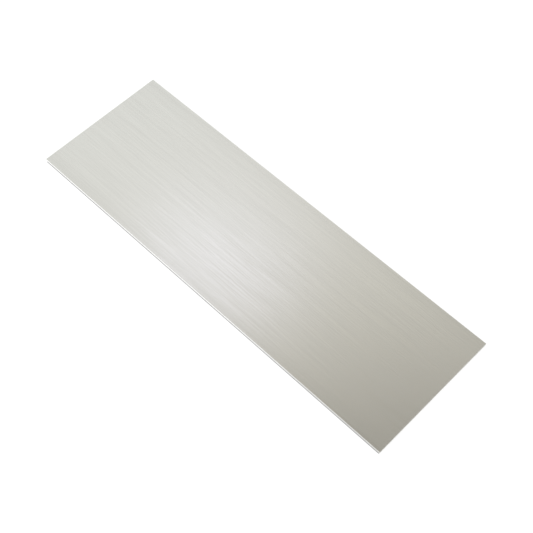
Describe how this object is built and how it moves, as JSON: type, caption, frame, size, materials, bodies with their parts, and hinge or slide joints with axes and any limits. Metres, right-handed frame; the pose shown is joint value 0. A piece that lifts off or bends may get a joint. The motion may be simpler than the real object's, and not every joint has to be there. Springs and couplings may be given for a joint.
{
  "type": "kick plate",
  "caption": "Flat rectangular brushed steel door kick plate with square corners and no screw holes, fitted by foam tape strips under peel-off release liners.",
  "frame": {"origin": "under the middle of the plate, on the underside of the release liners", "axes": "+X along the length, across the door; +Y up the door; +Z out of the door, towards the brushed face"},
  "size_m": [0.46, 0.15, 0.0042],
  "materials": {
    "brushed_sheet": "satin, grain along the length",
    "foam_tape": "matt closed-cell foam",
    "release_liner": "smooth siliconised paper"
  },
  "bodies": {
    "root": {"face_plate": "brushed_sheet", "tape_upper": "foam_tape", "tape_lower": "foam_tape", "tape_left": "foam_tape", "tape_right": "foam_tape", "tape_middle": "foam_tape", "liner_upper": "release_liner", "liner_lower": "release_liner", "liner_left": "release_liner", "liner_right": "release_liner", "liner_middle": "release_liner"}
  },
  "joints": []
}
